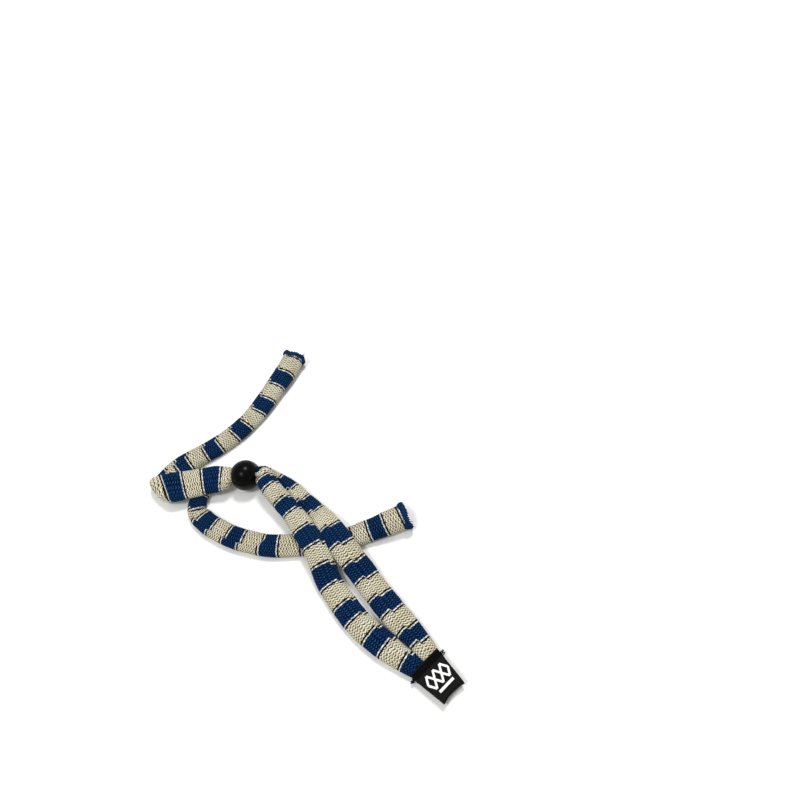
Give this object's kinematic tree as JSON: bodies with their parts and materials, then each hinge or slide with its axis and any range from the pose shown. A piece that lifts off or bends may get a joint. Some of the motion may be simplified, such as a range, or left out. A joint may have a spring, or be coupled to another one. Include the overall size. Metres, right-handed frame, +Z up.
{
  "type": "eyeglass retainer strap",
  "caption": "Knitted tubular eyeglass retainer strap with two open sleeve ends, a sliding cinch bead and a folded ribbon label, lying in a loop on a table.",
  "frame": {"origin": "on the table, below the middle of the outline of the strap as it lies", "axes": "+X from the bead towards the label, along the tails; +Z up from the table; the sleeve mouths open towards +Y"},
  "size_m": [0.1889, 0.1021, 0.0145],
  "materials": {
    "knit_cream": "knitted cotton, cream",
    "knit_navy": "knitted cotton, navy",
    "bead_black": "moulded plastic with a soft sheen",
    "label_satin": "woven satin ribbon",
    "thread_black": "sewing thread",
    "print_white": "printed ink"
  },
  "bodies": {
    "straps": {"left_strap": "knit_cream", "left_strap_fold": "knit_cream", "left_strap_return": "knit_cream", "left_tail": "knit_navy", "right_strap": "knit_cream", "right_strap_underpass": "knit_navy", "right_strap_bend": "knit_cream", "right_strap_curl": "knit_cream", "right_tail": "knit_navy"},
    "left_sleeve": {"left_sleeve": "knit_cream", "left_sleeve_hem": "knit_navy"},
    "right_sleeve": {"right_sleeve": "knit_cream", "right_sleeve_hem": "knit_navy"},
    "squeezed_straps": {"left_strap_neck": "knit_cream", "right_strap_neck": "knit_cream"},
    "bead": {"slider_bead": "bead_black"},
    "label": {"label_ribbon": "label_satin", "label_seam": "thread_black", "label_thread_end_left": "thread_black", "label_thread_end_right": "thread_black", "label_print_motif": "print_white", "label_print_bar": "print_white"}
  },
  "joints": [
    {"name": "left_sleeve_swing", "type": "hinge", "parent": "straps", "child": "left_sleeve", "pos_m": [-0.07614, 0.01416, 0.00305], "axis": [0, 0, 1], "range_deg": [-20, 20]},
    {"name": "right_sleeve_swing", "type": "hinge", "parent": "straps", "child": "right_sleeve", "pos_m": [0.01848, 0.00868, 0.00316], "axis": [0, 0, 1], "range_deg": [-20, 20]},
    {"name": "bead_slide", "type": "slide", "parent": "straps", "child": "squeezed_straps", "axis": [1, 0, 0], "range_m": [0, 0.105], "deforming": ["left_tail", "right_tail", "left_strap_neck", "right_strap_neck", "right_strap_underpass"]},
    {"name": "bead_turn", "type": "hinge", "parent": "squeezed_straps", "child": "bead", "pos_m": [-0.0452, -0.015, 0.00725], "axis": [0, 0, 1], "range_deg": [-50, 0], "deforming": ["left_strap_neck", "right_strap_neck"]},
    {"name": "label_flap", "type": "hinge", "parent": "straps", "child": "label", "pos_m": [0.0774, -0.015, 0.0023], "axis": [0, -1, 0], "range_deg": [0, 70], "deforming": ["left_tail", "right_tail"]}
  ],
  "couplings": [
    {"joint": "bead_turn", "follows": "bead_slide", "rad_per_m": -8.31}
  ]
}
